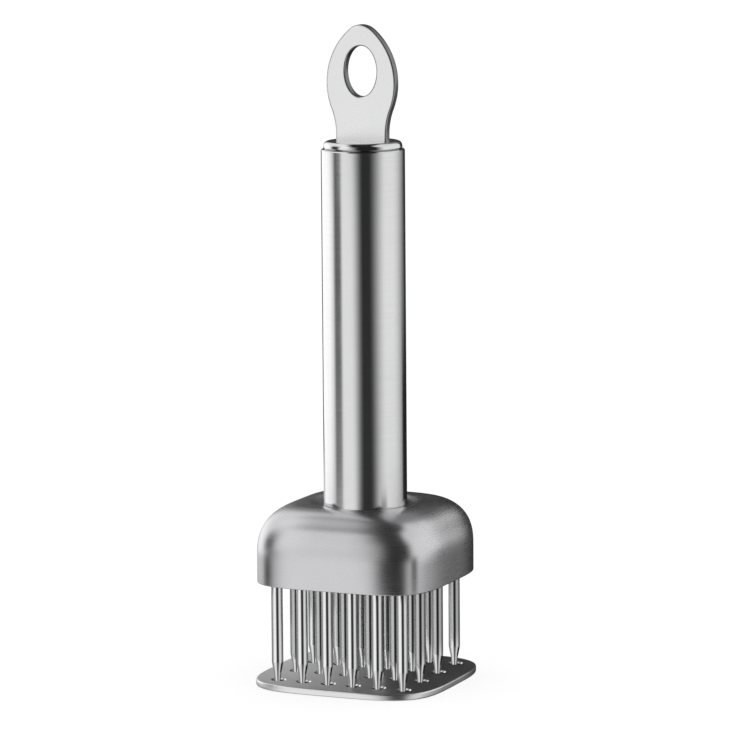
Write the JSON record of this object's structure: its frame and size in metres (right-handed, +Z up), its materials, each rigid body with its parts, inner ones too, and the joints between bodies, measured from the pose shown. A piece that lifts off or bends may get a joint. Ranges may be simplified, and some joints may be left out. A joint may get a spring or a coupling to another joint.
{
  "type": "meat tenderizer",
  "caption": "Press-type needle meat tenderizer: tubular steel handle with a hanging loop, square domed head with rows of needles, and a sprung guard plate that slides up them.",
  "frame": {"origin": "centre of the guard plate's underside, on the handle's axis, with the guard plate fully down", "axes": "+Z up along the handle, +X right across the needle columns and along the loop's width, -Y the front"},
  "size_m": [0.0594, 0.0594, 0.2],
  "materials": {
    "handle_steel": "satin, brushed round the tube",
    "head_steel": "satin",
    "cap_steel": "polished",
    "loop_steel": "satin",
    "needle_steel": "polished",
    "guard_steel": "satin",
    "post_steel": "ground",
    "inner_steel": "turned",
    "fastener_steel": "plain",
    "spring_steel": "drawn wire",
    "bush_polymer": "matte",
    "buffer_rubber": "matte"
  },
  "bodies": {
    "head": {"needle_a1": "needle_steel", "needle_a2": "needle_steel", "needle_a3": "needle_steel", "needle_a4": "needle_steel", "needle_a5": "needle_steel", "needle_a6": "needle_steel", "needle_b1": "needle_steel", "needle_b2": "needle_steel", "needle_b3": "needle_steel", "needle_b4": "needle_steel", "needle_b5": "needle_steel", "needle_b6": "needle_steel", "needle_c1": "needle_steel", "needle_c2": "needle_steel", "needle_c3": "needle_steel", "needle_c4": "needle_steel", "needle_c5": "needle_steel", "needle_c6": "needle_steel", "needle_d1": "needle_steel", "needle_d2": "needle_steel", "needle_d3": "needle_steel", "needle_d4": "needle_steel", "needle_d5": "needle_steel", "needle_d6": "needle_steel", "head_shell": "head_steel", "neck_bushing": "inner_steel", "guide_bush_left": "bush_polymer", "guide_bush_right": "bush_polymer", "buffer_washer": "buffer_rubber", "mounting_plate": "inner_steel", "mounting_screws": "fastener_steel", "pillar_front_left": "inner_steel", "pillar_front_right": "inner_steel", "pillar_rear_left": "inner_steel", "pillar_rear_right": "inner_steel", "backing_plate": "inner_steel", "needle_plate": "inner_steel", "needle_plate_screws": "fastener_steel", "return_spring": "spring_steel", "spring_rod": "inner_steel", "handle_tube": "handle_steel", "end_cap": "cap_steel", "hanging_loop": "loop_steel", "loop_pin": "fastener_steel"},
    "guard": {"guard_plate": "guard_steel", "guard_screws": "fastener_steel", "guide_post_left": "post_steel", "guide_post_right": "post_steel", "post_yoke": "inner_steel", "yoke_screws": "fastener_steel"}
  },
  "joints": [
    {"name": "guard_slide", "type": "slide", "parent": "head", "child": "guard", "axis": [0, 0, 1], "range_m": [0, 0.025], "stiffness_N_per_m": 1230, "springref_m": -0.01, "deforming": ["return_spring"]}
  ]
}
